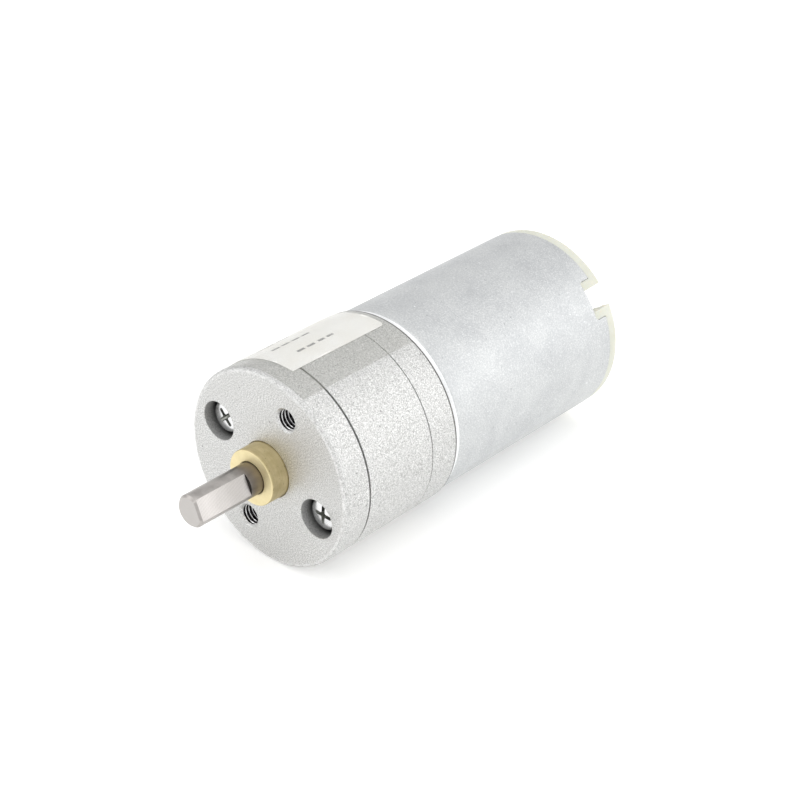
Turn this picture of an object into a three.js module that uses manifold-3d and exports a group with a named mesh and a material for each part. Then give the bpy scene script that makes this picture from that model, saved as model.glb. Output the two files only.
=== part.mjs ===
// Geared DC motor: a 25 mm round spur gearbox with a central 4 mm D-shaft, bolted to a 24.4 mm
// brushed motor. Every separate piece is its own named mesh. Millimetres.
//
// Pieces are drawn in an axial frame: z runs along the shaft, from the output end (z < 0) to the
// terminals (z > 0), with z = 0 on the gearbox's mounting face. The root group turns that frame
// so that the shaft points along -Y and +Z is up.
import * as THREE from "three";
import { mergeVertices } from "three/addons/utils/BufferGeometryUtils.js";
import Module from "manifold-3d";

const wasm = await Module();
wasm.setup();

// ---------------------------------------------------------------- driving dimensions
const R_BOX = 12.5; // gearbox radius
const R_CAN = 12.2; // motor can radius
const Z_COVER = 4.0; // seam between front cover and gear housing
const Z_HOUSING = 14.7; // seam between gear housing and rear plate
const Z_BOX = 19.0; // back of the gearbox
const Z_CAN = 49.4; // rim of the motor can
const Z_CAP = 50.4; // back of the end cap's rim
const SPIGOT = 0.9; // depth of the locating spigots
const R_SPIGOT = 10.95;
const SEAM = 0.04; // gap at each seam

const R_SHAFT = 2.0;
const Z_TIP = -12.0; // free end of the output shaft
const Z_FLAT = -4.3; // where the flat on the shaft ends
const FLAT = 1.5; // distance of the flat from the axis
const R_BUSH = 3.5;
const Z_BUSH = -2.5; // front of the brass bush

const R_PATTERN = 8.5; // circle of both tapped holes and both cover screws
const A_TAPPED = 66.7; // direction of the first tapped hole, degrees from +X towards +Z
const A_SCREW = -23.3; // direction of the first cover screw
const A_FLAT = 23; // direction that the shaft's flat faces
const A_NOTCH = 35.4; // direction of the first notch in the can's rim
const A_TERMINAL = A_NOTCH + 90;
const A_MOTOR_SCREW = A_TAPPED + 45;

// gear train: four equal stages of 12 into 28 teeth, going centre, pin A, centre, pin B, centre
const MODULE = 0.3;
const Z_PINION = 12;
const Z_WHEEL = 28;
const CENTRES = (MODULE * (Z_PINION + Z_WHEEL)) / 2; // 6.0
const BACKLASH = 0.05; // taken off each tooth's thickness at the pitch circle
const LAYER = [
  [11.7, 13.6], // stage 1 wheel, on pin A
  [9.6, 11.5], // stage 2 wheel, free on the output shaft's journal
  [7.45, 9.4], // stage 3 wheel, on pin B
  [5.3, 7.3], // output wheel, fixed on the output shaft
];
const R_PIN = 0.75;
const R_ROTOR = 1.0; // rotor shaft radius

const SEG = 48; // sides of the large round bodies

// ---------------------------------------------------------------- geometry helpers
const rad = (d) => (d * Math.PI) / 180;
// a direction seen from the shaft end, degrees from +X towards +Z, as a unit vector in the axial frame
const dir = (deg) => [Math.cos(rad(deg)), -Math.sin(rad(deg))];
const at = (deg, r) => dir(deg).map((c) => c * r);

function solid(geometry) {
  const g = (geometry.index ? geometry.toNonIndexed() : geometry).clone();
  for (const name of Object.keys(g.attributes))
    if (name !== "position") g.deleteAttribute(name);
  const m = mergeVertices(g, 1e-4);
  const tri = [];
  const idx = m.index.array;
  for (let i = 0; i < idx.length; i += 3)
    if (
      idx[i] !== idx[i + 1] &&
      idx[i + 1] !== idx[i + 2] &&
      idx[i] !== idx[i + 2]
    )
      tri.push(idx[i], idx[i + 1], idx[i + 2]);
  const make = (t) =>
    new wasm.Manifold(
      new wasm.Mesh({
        numProp: 3,
        vertProperties: new Float32Array(m.attributes.position.array),
        triVerts: new Uint32Array(t),
      }),
    );
  let s = make(tri);
  if (s.volume() < 0) {
    for (let i = 0; i < tri.length; i += 3)
      [tri[i + 1], tri[i + 2]] = [tri[i + 2], tri[i + 1]];
    s = make(tri);
  }
  return s;
}

function geometryOf(s) {
  const m = s.getMesh();
  const n = m.numProp;
  const v = new Float32Array(m.numVert * 3);
  for (let i = 0; i < m.numVert; i++)
    v.set(m.vertProperties.subarray(i * n, i * n + 3), i * 3);
  const g = new THREE.BufferGeometry();
  g.setAttribute("position", new THREE.BufferAttribute(v, 3));
  g.setIndex(new THREE.BufferAttribute(new Uint32Array(m.triVerts), 1));
  return g;
}

const join = (...s) => s.reduce((a, b) => a.add(b));
const cut = (a, ...s) => s.reduce((x, b) => x.subtract(b), a);

function circle(r, seg, cx = 0, cy = 0, turn = 0) {
  return Array.from({ length: seg }, (_, i) => {
    const a = (2 * Math.PI * i) / seg + turn;
    return new THREE.Vector2(cx + r * Math.cos(a), cy + r * Math.sin(a));
  });
}

// a prism of a 2D outline, with holes, from z0 to z1
function prism(points, z0, z1, holes = []) {
  const shape = new THREE.Shape(points);
  for (const h of holes) shape.holes.push(new THREE.Path(h));
  const g = new THREE.ExtrudeGeometry(shape, {
    depth: z1 - z0,
    bevelEnabled: false,
    steps: 1,
    curveSegments: 1,
  });
  g.translate(0, 0, z0);
  return solid(g);
}

const rod = (r, z0, z1, seg = 24, c = [0, 0]) =>
  prism(circle(r, seg, c[0], c[1]), z0, z1);
const tube = (ro, ri, z0, z1, seg = 24, c = [0, 0]) =>
  prism(circle(ro, seg, c[0], c[1]), z0, z1, [circle(ri, seg, c[0], c[1])]);

// a body of revolution about z: the profile is a list of [r, z]; it starts and ends on the axis,
// or closes on itself
function turned(profile, seg = SEG) {
  const p = profile.map(([r, z]) => new THREE.Vector2(r, z));
  const onAxis = profile[0][0] === 0 && profile.at(-1)[0] === 0;
  if (!onAxis) p.push(p[0].clone());
  const g = new THREE.LatheGeometry(p, seg);
  g.rotateX(Math.PI / 2);
  g.scale(1, -1, 1); // keeps z the way the profile gives it; solid() turns the faces out again
  g.rotateZ(Math.PI / 2);
  return solid(g);
}

// quarter-round points from [r0, z0] to [r1, z1]; bulge "r" leaves along r first, "z" along z first
function round([r0, z0], [r1, z1], first, n = 3) {
  const out = [];
  for (let i = 0; i <= n; i++) {
    const a = (Math.PI / 2) * (i / n);
    const s = Math.sin(a);
    const c = 1 - Math.cos(a);
    out.push(
      first === "r"
        ? [r0 + (r1 - r0) * s, z0 + (z1 - z0) * c]
        : [r0 + (r1 - r0) * c, z0 + (z1 - z0) * s],
    );
  }
  return out;
}

// a piece of a ring between two directions (degrees, as dir() takes them)
function sector(ro, ri, a0, a1, z0, z1, n) {
  const steps = n ?? Math.max(2, Math.ceil(Math.abs(a1 - a0) / 5));
  const pts = [];
  for (let i = 0; i <= steps; i++)
    pts.push(new THREE.Vector2(...at(a0 + ((a1 - a0) * i) / steps, ro)));
  for (let i = steps; i >= 0; i--)
    pts.push(new THREE.Vector2(...at(a0 + ((a1 - a0) * i) / steps, ri)));
  return prism(pts, z0, z1);
}

// a box in a frame turned to a direction: p along the direction, q across it
function block(deg, p0, p1, q0, q1, z0, z1) {
  const [dx, dy] = dir(deg);
  const pt = (p, q) => new THREE.Vector2(dx * p - dy * q, dy * p + dx * q);
  return prism([pt(p0, q0), pt(p1, q0), pt(p1, q1), pt(p0, q1)], z0, z1);
}

// ---------------------------------------------------------------- gears
const inv = (a) => Math.tan(a) - a;
// radii as multiples of the module; the wheel's stub addendum clears the small pinion's roots
function gearOutline(teeth, addendum, points, phase, c) {
  const rp = (MODULE * teeth) / 2;
  const rb = rp * Math.cos(rad(20));
  const rt = rp + addendum * MODULE;
  const rr = rp - 1.25 * MODULE;
  const s = (Math.PI * MODULE) / 2 - BACKLASH;
  const half = (r) =>
    s / (2 * rp) + inv(rad(20)) - inv(Math.acos(Math.min(1, rb / r)));
  const radii = points === 3 ? [rr, Math.max(rb, rr) + 0.1, rt] : [rr, rt];
  const out = [];
  for (let i = 0; i < teeth; i++) {
    const a = phase + (2 * Math.PI * i) / teeth;
    for (const r of radii) out.push([r, a - half(Math.max(r, rb))]);
    for (const r of [...radii].reverse())
      out.push([r, a + half(Math.max(r, rb))]);
  }
  return out.map(
    ([r, a]) =>
      new THREE.Vector2(c[0] + r * Math.cos(a), c[1] + r * Math.sin(a)),
  );
}

const CENTRE = [0, 0];
const PIN_A = at(A_TAPPED, CENTRES);
const PIN_B = at(A_TAPPED + 180, CENTRES);
// Pinions start with a tooth at phase 0; each wheel is turned so that a gap meets the pinion.
function meshPhase(from, to) {
  const alpha = Math.atan2(to[1] - from[1], to[0] - from[0]);
  const share = ((alpha - 0) * Z_PINION) / (2 * Math.PI);
  return alpha + Math.PI - ((2 * Math.PI) / Z_WHEEL) * (0.5 - share);
}
const wheel = (c, phase, z0, z1, bore) =>
  prism(gearOutline(Z_WHEEL, 0.8, 2, phase, c), z0, z1, [
    circle(bore, 20, c[0], c[1]),
  ]);
const pinion = (c, z0, z1, bore) =>
  prism(gearOutline(Z_PINION, 0.9, 3, 0, c), z0, z1, [
    circle(bore, 16, c[0], c[1]),
  ]);
// a pinion with a plain hub that the wheel is pressed on
const hubbedPinion = (c, teeth, hub, bore) => {
  const [z0, z1] = [Math.min(teeth[0], hub[0]), Math.max(teeth[1], hub[1])];
  return cut(
    join(
      prism(gearOutline(Z_PINION, 0.9, 3, 0, c), teeth[0], teeth[1]),
      rod(1.38, hub[0], hub[1], 20, c),
    ),
    rod(bore, z0 - 1, z1 + 1, 16, c),
  );
};

// ---------------------------------------------------------------- gearbox shells
function frontCover() {
  const body = turned([
    [0, 0],
    ...round([R_BOX - 0.35, 0], [R_BOX, 0.75], "r"),
    [R_BOX, Z_COVER],
    [R_SPIGOT, Z_COVER],
    [R_SPIGOT, Z_COVER + SPIGOT],
    [0, Z_COVER + SPIGOT],
  ]);
  const cuts = [rod(R_BUSH + 0.04, -1, 6, 48)];
  for (const s of [0, 180]) {
    const [x, y] = at(A_TAPPED + s, R_PATTERN);
    // tapped hole: minor diameter, with a chamfered mouth
    cuts.push(
      turned([
        [0, -0.1],
        [1.6, -0.1],
        [1.25, 0.25],
        [1.25, 3.1],
        [0, 3.7],
      ], 24).translate([x, y, 0]),
    );
    const c = at(A_SCREW + s, R_PATTERN);
    cuts.push(rod(2.5, -1, 2.5, 32, c), rod(1.15, 2, 6, 16, c));
    cuts.push(rod(R_PIN + 0.03, 3.4, 6, 16, at(A_TAPPED + s, CENTRES)));
  }
  return cut(body, ...cuts);
}

function gearHousing() {
  const z0 = Z_COVER + SEAM;
  const z1 = Z_HOUSING - SEAM;
  const body = turned([
    [R_SPIGOT + 0.06, z0],
    [R_BOX - 0.1, z0],
    [R_BOX, z0 + 0.1],
    [R_BOX, z1 - 0.1],
    [R_BOX - 0.1, z1],
    [R_SPIGOT + 0.06, z1],
    [R_SPIGOT + 0.06, z1 - 1],
    [4, z1 - 1],
    [4, z0 + 1],
    [R_SPIGOT + 0.06, z0 + 1],
  ]);
  // an oblong pocket along the line of the two pins
  const n = 12;
  const half = 4.85;
  const pocket = [];
  for (const [s, c] of [
    [0, PIN_A],
    [180, PIN_B],
  ])
    for (let i = 0; i <= n; i++) {
      const a = A_TAPPED + s - 90 + (180 * i) / n;
      const d = dir(a);
      pocket.push(new THREE.Vector2(c[0] + half * d[0], c[1] + half * d[1]));
    }
  return cut(
    body,
    prism(pocket.reverse(), 4, 15),
    rod(1.15, 4, 15, 16, at(A_SCREW, R_PATTERN)),
    rod(1.15, 4, 15, 16, at(A_SCREW + 180, R_PATTERN)),
  );
}

function rearPlate() {
  const body = turned([
    [2.6, Z_HOUSING - SPIGOT],
    [R_SPIGOT, Z_HOUSING - SPIGOT],
    [R_SPIGOT, Z_HOUSING],
    [R_BOX, Z_HOUSING],
    [R_BOX, Z_BOX - 0.15],
    [R_BOX - 0.15, Z_BOX],
    [3.07, Z_BOX],
    [3.07, 17.4],
    [2.6, 17.4],
  ]);
  const cuts = [];
  for (const s of [0, 180]) {
    cuts.push(rod(1.04, 13, 17.5, 16, at(A_SCREW + s, R_PATTERN)));
    cuts.push(rod(R_PIN + 0.03, 13, 15.8, 16, at(A_TAPPED + s, CENTRES)));
    const c = at(A_MOTOR_SCREW + s, 8);
    cuts.push(rod(2.0, 13, 15.55, 24, c), rod(1.32, 15, 20, 16, c));
  }
  return cut(body, ...cuts);
}

// a pan-head screw with a cross recess, head towards -z, seated at z
function screw(c, zSeat, rHead, hHead, rShank, zEnd, turn) {
  const body = turned(
    [
      [0, zSeat - hHead],
      [rHead * 0.72, zSeat - hHead + 0.06],
      [rHead * 0.95, zSeat - hHead + 0.35],
      [rHead, zSeat - hHead * 0.45],
      [rHead, zSeat],
      [rShank, zSeat],
      [rShank, zEnd - 0.4],
      [rShank - 0.4, zEnd],
      [0, zEnd],
    ],
    24,
  ).translate([c[0], c[1], 0]);
  const w = rHead * 0.17;
  const l = rHead * 0.62;
  const arm = (t) =>
    block(t, -l, l, -w, w, zSeat - hHead - 0.5, zSeat - hHead * 0.35).translate([
      c[0],
      c[1],
      0,
    ]);
  return cut(body, arm(turn), arm(turn + 90));
}

// ---------------------------------------------------------------- gearbox moving parts
function outputShaft() {
  const body = turned(
    [
      [0, Z_TIP],
      [R_SHAFT - 0.3, Z_TIP],
      [R_SHAFT, Z_TIP + 0.3],
      [R_SHAFT, 7.3],
      [R_PIN, 7.3],
      [R_PIN, 11.35],
      [R_PIN - 0.1, 11.45],
      [0, 11.45],
    ],
    40,
  );
  return cut(body, block(A_FLAT, FLAT, 4, -4, 4, Z_TIP - 1, Z_FLAT));
}

function bush() {
  return turned(
    [
      [2.03, Z_BUSH + 0.1],
      [2.13, Z_BUSH],
      [R_BUSH - 0.15, Z_BUSH],
      [R_BUSH, Z_BUSH + 0.15],
      [R_BUSH, Z_COVER + SPIGOT],
      [2.03, Z_COVER + SPIGOT],
    ],
    48,
  );
}

// ---------------------------------------------------------------- motor
const NOTCH_HALF = 12.5; // degrees, half the notch in the can's rim
const CAP_NOTCH_HALF = 7.1; // degrees, half the notch left by the end cap's tabs
const Z_NOTCH = 47.4;

function motorCan() {
  const z0 = Z_BOX + 0.03;
  const body = turned([
    [1.3, 17.45],
    [2.8, 17.45],
    [3.0, 17.65],
    [3.0, z0],
    ...round([R_CAN - 1.2, z0], [R_CAN, z0 + 1.2], "r"),
    [R_CAN, Z_CAN - 0.25],
    [R_CAN - 0.25, Z_CAN],
    [R_CAN - 1, Z_CAN],
    ...round([R_CAN - 1, z0 + 1.6], [R_CAN - 1.6, z0 + 1], "z", 2),
    [2.3, z0 + 1],
    [2.3, 17.85],
    [1.3, 17.85],
  ]);
  const cuts = [];
  for (const s of [0, 180]) {
    const a = A_NOTCH + s;
    cuts.push(
      sector(14, 10, a - NOTCH_HALF, a + NOTCH_HALF, Z_NOTCH, Z_CAN + 1, 4),
    );
    cuts.push(rod(1.28, 18, 21, 16, at(A_MOTOR_SCREW + s, 8)));
  }
  return cut(body, ...cuts);
}

function endCap() {
  const body = turned([
    [2.32, 46.4],
    [4.0, 46.4],
    [4.0, 47.0],
    [10.0, 47.0],
    [10.0, 44.6],
    [11.1, 44.6],
    [11.15, Z_CAN + 0.03],
    [R_CAN, Z_CAN + 0.03],
    [R_CAN, Z_CAP - 0.15],
    [R_CAN - 0.15, Z_CAP],
    [10.15, Z_CAP],
    [10.0, Z_CAP - 0.15],
    [10.0, 48.5],
    [4.2, 48.5],
    [4.0, 51.2],
    [3.8, 51.4],
    [1.3, 51.4],
    [1.3, 50.9],
    [2.32, 50.9],
  ]);
  // tabs that line both notches of the can
  const tabs = [];
  const cuts = [];
  for (const s of [0, 180]) {
    const a = A_NOTCH + s;
    tabs.push(
      sector(
        R_CAN,
        11.0,
        a - NOTCH_HALF + 0.2,
        a + NOTCH_HALF - 0.2,
        Z_NOTCH + 0.03,
        Z_CAN + 0.5,
        4,
      ),
    );
    cuts.push(
      sector(
        14,
        9.5,
        a - CAP_NOTCH_HALF,
        a + CAP_NOTCH_HALF,
        Z_NOTCH + 0.03,
        52,
        2,
      ),
    );
    cuts.push(block(A_TERMINAL + s, 8.1, 8.7, -1.35, 1.35, 46, 49));
  }
  return cut(join(body, ...tabs), ...cuts);
}

function terminal(s) {
  const a = A_TERMINAL + s;
  // a tab with a rounded end and a wire hole, drawn flat and stood up in its slot
  const pts = [
    [-1.25, 45.4],
    [1.25, 45.4],
    [1.25, 53.1],
    [0.95, 53.65],
    [0.4, 53.9],
    [-0.4, 53.9],
    [-0.95, 53.65],
    [-1.25, 53.1],
  ].map(([x, y]) => new THREE.Vector2(x, y));
  const tab = prism(pts, 8.2, 8.6, [circle(0.6, 16, 0, 52.2)]);
  return standUp(tab, a);
}

// turns a piece drawn with x across, y along the axis and z outwards, so that it stands at a direction
function standUp(piece, deg) {
  const [dx, dy] = dir(deg);
  // columns: drawn x -> across, drawn y -> z, drawn z -> outwards
  return piece.transform([-dy, dx, 0, 0, 0, 0, 1, 0, dx, dy, 0, 0, 0, 0, 0, 1]);
}

function brushArm(s) {
  const a = A_TERMINAL + s;
  const p = [
    [4.4, 42.3],
    [8.15, 42.3],
    [8.15, 46.8],
    [7.9, 46.8],
    [7.9, 42.75],
    [7.7, 42.55],
    [4.4, 42.55],
  ].map(([x, y]) => new THREE.Vector2(x, y));
  // drawn with x outwards, y along the axis, thickness across
  const strip = prism(p, -0.8, 0.8);
  const [dx, dy] = dir(a);
  return strip.transform([dx, dy, 0, 0, 0, 0, 1, 0, dy, -dx, 0, 0, 0, 0, 0, 1]);
}

function armature() {
  // three T-shaped poles
  const pts = [];
  const push = (deg, r) => pts.push(new THREE.Vector2(...at(deg, r)));
  const corner = (deg, p, q) => {
    const [dx, dy] = dir(deg);
    pts.push(new THREE.Vector2(dx * p + dy * q, dy * p - dx * q));
  };
  for (const a of [90, 210, 330]) {
    corner(a, 2.2, -1.25);
    corner(a, 6.5, -1.25);
    push(a - 46, 6.7);
    push(a - 52, 7.2);
    for (let i = 0; i <= 8; i++) push(a - 52 + 13 * i, 7.8);
    push(a + 52, 7.2);
    push(a + 46, 6.7);
    corner(a, 6.5, 1.25);
    corner(a, 2.2, 1.25);
  }
  return prism(pts.reverse(), 26, 37, [circle(R_ROTOR + 0.03, 16)]);
}

// a coil round one pole: a rounded loop drawn in the plane across the arm, extruded along it
function winding(deg) {
  const loop = (q, z, r) => {
    const out = [];
    for (const [cx, cy, a0] of [
      [q - r, z - r, 0],
      [-q + r, z - r, 90],
      [-q + r, -z + r, 180],
      [q - r, -z + r, 270],
    ])
      for (let i = 0; i <= 3; i++) {
        const t = rad(a0 + 30 * i);
        out.push(
          new THREE.Vector2(cx + r * Math.cos(t), 31.5 + cy + r * Math.sin(t)),
        );
      }
    return out;
  };
  return standUp(
    prism(loop(2.75, 6.9, 1.2), 3.3, 5.6, [loop(1.32, 5.56, 0.05)]),
    deg,
  );
}

// ---------------------------------------------------------------- assembly
const MATERIAL = {
  zinc: { color: 0xbfc0bd, roughness: 0.55, metalness: 0.85 },
  steel: { color: 0xc9c9ca, roughness: 0.25, metalness: 1 },
  plate: { color: 0xd9dbdc, roughness: 0.22, metalness: 1 },
  can: { color: 0xc4c9cc, roughness: 0.42, metalness: 0.9 },
  brass: { color: 0xc9ab5b, roughness: 0.32, metalness: 1 },
  bronze: { color: 0xa9825a, roughness: 0.6, metalness: 0.8 },
  nylon: { color: 0xecebd8, roughness: 0.45, metalness: 0 },
  gearsteel: { color: 0x9a9a9c, roughness: 0.35, metalness: 1 },
  ferrite: { color: 0x3a3a3d, roughness: 0.75, metalness: 0.1 },
  iron: { color: 0x8b8d91, roughness: 0.5, metalness: 0.9 },
  copper: { color: 0xb5633a, roughness: 0.35, metalness: 1 },
  carbon: { color: 0x2b2b2c, roughness: 0.7, metalness: 0.2 },
  paper: { color: 0xf0efe8, roughness: 0.6, metalness: 0 },
  tape: { color: 0xe6e4da, roughness: 0.2, metalness: 0 },
};
const material = Object.fromEntries(
  Object.entries(MATERIAL).map(([k, v]) => [
    k,
    new THREE.MeshStandardMaterial(v),
  ]),
);

const group = new THREE.Group();
group.rotation.x = -Math.PI / 2;
const add = (name, s, m) => {
  const mesh = new THREE.Mesh(geometryOf(s), material[m]);
  mesh.name = name;
  group.add(mesh);
};

// gearbox shells and fixings
add("front_cover", frontCover(), "zinc");
add("gear_housing", gearHousing(), "zinc");
add("rear_plate", rearPlate(), "zinc");
add("output_bush", bush(), "brass");
add("cover_screw_1", screw(at(A_SCREW, R_PATTERN), 2.47, 2.0, 1.2, 1.0, 17.0, A_SCREW + 20), "plate");
add("cover_screw_2", screw(at(A_SCREW + 180, R_PATTERN), 2.47, 2.0, 1.2, 1.0, 17.0, A_SCREW - 25), "plate");
add("motor_screw_1", screw(at(A_MOTOR_SCREW, 8), 15.5, 1.85, 1.3, 1.22, 20.7, 10), "plate");
add("motor_screw_2", screw(at(A_MOTOR_SCREW + 180, 8), 15.5, 1.85, 1.3, 1.22, 20.7, 55), "plate");
add("gear_pin_a", rod(R_PIN, 3.45, 15.75, 16, PIN_A), "steel");
add("gear_pin_b", rod(R_PIN, 3.45, 15.75, 16, PIN_B), "steel");
add("pin_spacer_a", tube(1.3, R_PIN + 0.04, 4.95, 9.5, 16, PIN_A), "steel");
add("pin_spacer_b", tube(1.3, R_PIN + 0.04, 9.5, 13.75, 16, PIN_B), "steel");

// output shaft and its wheel
add("output_shaft", outputShaft(), "steel");
add("output_gear", wheel(CENTRE, meshPhase(PIN_B, CENTRE), ...LAYER[3], 2.04), "gearsteel");
add("output_washer", tube(3.2, 2.04, 4.95, 5.25, 32), "steel");

// three compound gears
add("stage_1_wheel", wheel(PIN_A, meshPhase(CENTRE, PIN_A), ...LAYER[0], 1.42), "brass");
add("stage_1_pinion", hubbedPinion(PIN_A, [9.55, 11.65], [11.65, 13.65], R_PIN + 0.04), "gearsteel");
add("stage_2_wheel", wheel(CENTRE, meshPhase(PIN_A, CENTRE), ...LAYER[1], 1.42), "brass");
add("stage_2_pinion", hubbedPinion(CENTRE, [7.4, 9.55], [9.55, 11.55], R_PIN + 0.04), "gearsteel");
add("stage_3_wheel", wheel(PIN_B, meshPhase(CENTRE, PIN_B), ...LAYER[2], 1.42), "gearsteel");
add("stage_3_pinion", hubbedPinion(PIN_B, [5.2, 7.4], [7.4, 9.45], R_PIN + 0.04), "gearsteel");

// rotor
add("motor_pinion", pinion(CENTRE, 11.7, 16.4, R_ROTOR + 0.03), "brass");
add("rotor_shaft", turned([[0, 11.8], [R_ROTOR - 0.15, 11.8], [R_ROTOR, 11.95], [R_ROTOR, 50.55], [R_ROTOR - 0.15, 50.7], [0, 50.7]], 16), "steel");
add("armature_core", armature(), "iron");
add("winding_1", winding(90), "copper");
add("winding_2", winding(210), "copper");
add("winding_3", winding(330), "copper");
add("commutator_sleeve", tube(1.6, R_ROTOR + 0.03, 39.2, 45.2, 24), "nylon");
for (const [i, a] of [30, 150, 270].entries())
  add(`commutator_bar_${i + 1}`, sector(2.3, 1.64, a - 56, a + 56, 40.2, 44.8, 8), "copper");
add("rotor_spacer", tube(1.9, R_ROTOR + 0.03, 21.4, 25.9, 20), "nylon");
add("thrust_washer", tube(2.1, R_ROTOR + 0.03, 21.0, 21.35, 20), "nylon");

// motor stator, casing and brush gear
add("motor_can", motorCan(), "can");
add("front_bearing", tube(2.27, R_ROTOR + 0.03, 17.9, 20.9, 24), "bronze");
add("rear_bearing", tube(2.29, R_ROTOR + 0.03, 46.6, 50.85, 24), "bronze");
add("magnet_1", sector(11.1, 8.3, A_NOTCH - 62, A_NOTCH + 62, 23, 40), "ferrite");
add("magnet_2", sector(11.1, 8.3, A_NOTCH + 118, A_NOTCH + 242, 23, 40), "ferrite");
for (const [i, s] of [90, 270].entries()) {
  const a = A_NOTCH + s;
  add(
    `magnet_clip_${i + 1}`,
    join(
      sector(11.1, 10.7, a - 25.5, a + 25.5, 24, 39),
      sector(11.1, 8.8, a - 26, a - 23.8, 24, 39, 1),
      sector(11.1, 8.8, a + 23.8, a + 26, 24, 39, 1),
    ),
    "steel",
  );
}
add("end_cap", endCap(), "nylon");
for (const [i, s] of [0, 180].entries()) {
  add(`terminal_${i + 1}`, terminal(s), "plate");
  add(`brush_arm_${i + 1}`, brushArm(s), "copper");
  add(`carbon_brush_${i + 1}`, block(A_TERMINAL + s, 2.36, 4.36, -0.9, 0.9, 41.4, 43.4), "carbon");
}

// label and the clear tape over it
add("label", sector(12.6, 12.53, 81.5, 163, 2.8, 18.0, 17), "paper");
add("clear_tape", sector(12.68, 12.63, 62.5, 186, 0.9, 18.7, 26), "tape");

export default group;
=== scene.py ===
import math

import bmesh
import bpy
from mathutils import Matrix, Vector


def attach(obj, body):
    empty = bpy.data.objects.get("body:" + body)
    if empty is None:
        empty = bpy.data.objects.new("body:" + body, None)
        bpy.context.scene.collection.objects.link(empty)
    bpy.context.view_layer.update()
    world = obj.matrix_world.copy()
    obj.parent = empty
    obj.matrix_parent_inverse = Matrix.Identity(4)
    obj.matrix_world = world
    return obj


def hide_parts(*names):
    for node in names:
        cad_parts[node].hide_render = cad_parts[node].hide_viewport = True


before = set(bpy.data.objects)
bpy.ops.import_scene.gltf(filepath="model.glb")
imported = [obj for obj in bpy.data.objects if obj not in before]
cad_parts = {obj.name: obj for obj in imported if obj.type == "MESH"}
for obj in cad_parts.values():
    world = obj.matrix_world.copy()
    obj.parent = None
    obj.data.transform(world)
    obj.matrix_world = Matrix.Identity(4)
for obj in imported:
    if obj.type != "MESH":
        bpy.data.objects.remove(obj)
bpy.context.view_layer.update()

# Pieces are drawn in millimetres, in the row frame: the shaft points along -Y, +Z is up, and a
# direction is an angle from +X towards +Z. make() turns them into metres.
R_BOX, R_CAN = 12.5, 12.2
A_TAPPED, A_SCREW, A_FLAT, A_NOTCH = 66.7, -23.3, 23.0, 35.4
A_TERMINAL = A_NOTCH + 90
A_MOTOR_SCREW = A_TAPPED + 45


def rad(a):
    return math.radians(a)


def polar(r, a, y):
    return (r * math.cos(rad(a)), y, r * math.sin(rad(a)))


def centre_at(r, a):
    return (r * math.cos(rad(a)), r * math.sin(rad(a)))


# ------------------------------------------------------------------ mesh helpers
def soften(points, closed=True, steps=5):
    """Rounds the corners of a 2D outline; a point is (u, v) or (u, v, radius)."""
    out = []
    n = len(points)
    for i, p in enumerate(points):
        r = p[2] if len(p) > 2 else 0
        if not r or (not closed and i in (0, n - 1)):
            out.append((p[0], p[1]))
            continue
        a, b, c = points[i - 1], p, points[(i + 1) % n]
        va = Vector((a[0] - b[0], a[1] - b[1]))
        vc = Vector((c[0] - b[0], c[1] - b[1]))
        ua, uc = va.normalized(), vc.normalized()
        half = ua.angle(uc) / 2
        t = r / math.tan(half)
        centre = Vector((b[0], b[1])) + (ua + uc).normalized() * (r / math.sin(half))
        start = Vector((b[0], b[1])) + ua * t - centre
        end = Vector((b[0], b[1])) + uc * t - centre
        turn = start.angle_signed(end)
        for k in range(steps + 1):
            m = Matrix.Rotation(-turn * k / steps, 2)
            q = centre + m @ start
            out.append((q[0], q[1]))
    return out


def ring(bm, points):
    return [bm.verts.new(p) for p in points]


def circle(bm, r, y, n, centre=(0.0, 0.0), first=0.0):
    return ring(
        bm,
        [
            (
                centre[0] + r * math.cos(rad(first + 360 * i / n)),
                y,
                centre[1] + r * math.sin(rad(first + 360 * i / n)),
            )
            for i in range(n)
        ],
    )


def bridge(bm, a, b, closed=True, finish=0):
    n = len(a)
    for i in range(n if closed else n - 1):
        j = (i + 1) % n
        bm.faces.new((a[i], a[j], b[j], b[i])).material_index = finish


def fill(bm, *loops):
    """Closes a flat region bounded by an outer loop and any number of holes."""
    edges = []
    for loop in loops:
        for i, v in enumerate(loop):
            w = loop[(i + 1) % len(loop)]
            edges.append(bm.edges.get((v, w)) or bm.edges.new((v, w)))
    bmesh.ops.triangle_fill(bm, use_beauty=True, use_dissolve=False, edges=edges)


def lathe(bm, profile, n=160, closed=True, centre=(0.0, 0.0), first=0.0):
    """Turns a profile of (r, y) about the axis; points on the axis become single vertices."""
    rings = []
    for r, y in profile:
        if r < 1e-6:
            rings.append([bm.verts.new((centre[0], y, centre[1]))])
        else:
            rings.append(circle(bm, r, y, n, centre, first))
    pairs = list(zip(rings, rings[1:]))
    if closed:
        pairs.append((rings[-1], rings[0]))
    for a, b in pairs:
        if len(a) == 1 and len(b) == 1:
            continue
        if len(a) == 1 or len(b) == 1:
            tip, base = (a[0], b) if len(a) == 1 else (b[0], a)
            for i in range(n):
                bm.faces.new((base[i], base[(i + 1) % n], tip))
        else:
            bridge(bm, a, b)
    return rings


def solid_box(bm, p0, p1, q0, q1, y0, y1, angle):
    """A box turned to a direction: p outwards along it, q across it."""
    c, s = math.cos(rad(angle)), math.sin(rad(angle))
    v = [
        bm.verts.new((p * c - q * s, y, p * s + q * c))
        for y in (y0, y1)
        for p, q in ((p0, q0), (p1, q0), (p1, q1), (p0, q1))
    ]
    for f in (
        (0, 1, 2, 3),
        (7, 6, 5, 4),
        (0, 4, 5, 1),
        (1, 5, 6, 2),
        (2, 6, 7, 3),
        (3, 7, 4, 0),
    ):
        bm.faces.new([v[i] for i in f])
    return v


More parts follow.
